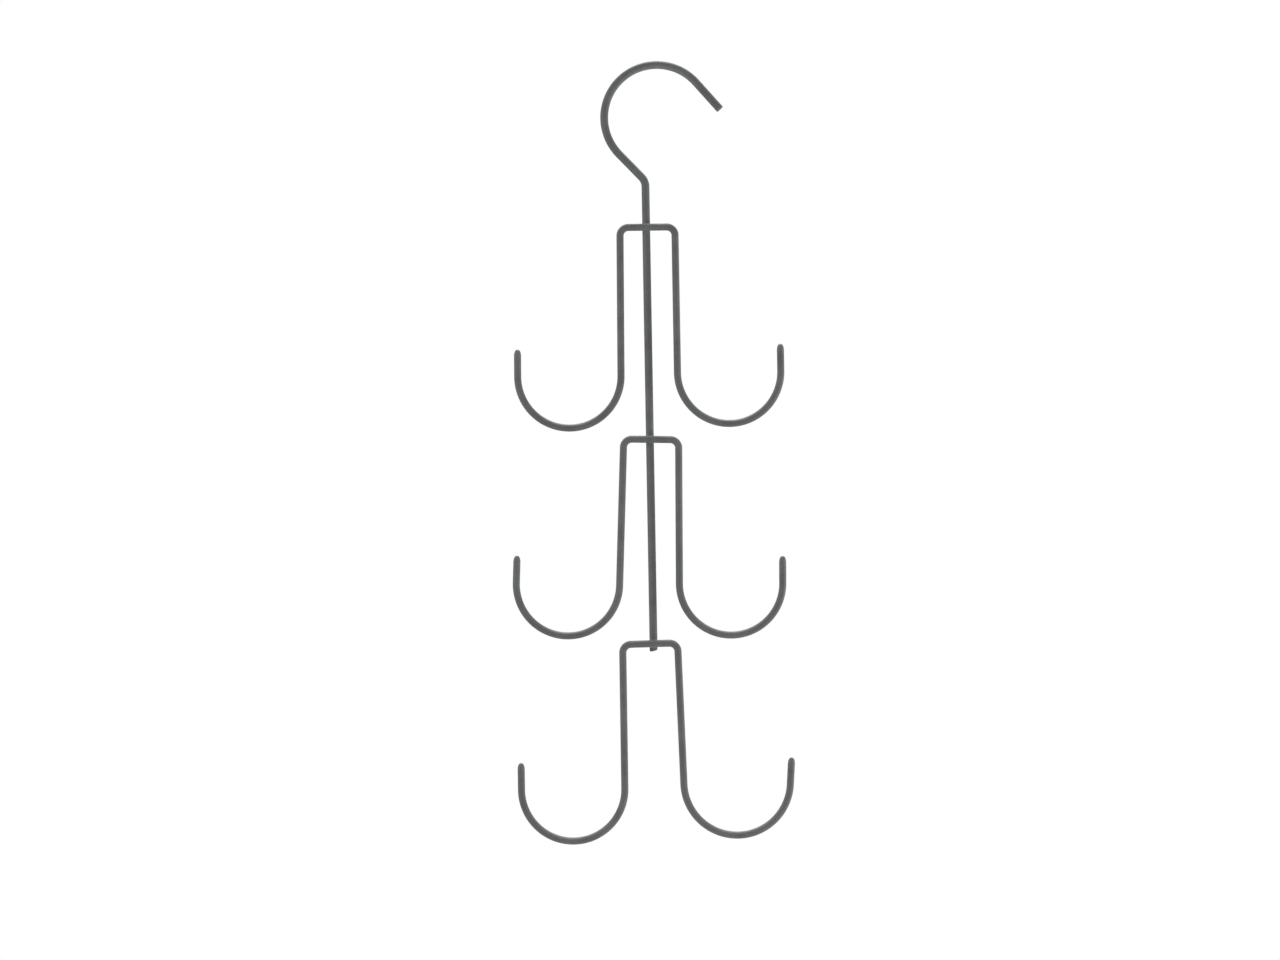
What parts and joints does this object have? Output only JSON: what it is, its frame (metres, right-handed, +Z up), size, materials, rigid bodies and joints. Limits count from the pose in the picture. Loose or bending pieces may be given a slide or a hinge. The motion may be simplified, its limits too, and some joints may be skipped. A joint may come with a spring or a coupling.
{
  "type": "hat rack",
  "caption": "Hanging wire hat rack: a stem bent into a closet-rod hook at the top, with pairs of J-shaped hat hooks welded across it in rows.",
  "frame": {"origin": "crown of the rod hook, on the inside of the wire, where the closet rod bears", "axes": "+Z up along the stem, +X to the right seen from the front, -Y towards the front, where the double hooks cross the stem"},
  "size_m": [0.1483, 0.008, 0.416],
  "materials": {
    "powder_coat": "satin dark grey powder coat on steel wire"
  },
  "bodies": {
    "root": {"stem_hook": "powder_coat", "double_hook_top": "powder_coat", "double_hook_middle": "powder_coat", "double_hook_bottom": "powder_coat", "weld_top": "powder_coat", "weld_middle": "powder_coat", "weld_bottom": "powder_coat"}
  },
  "joints": []
}
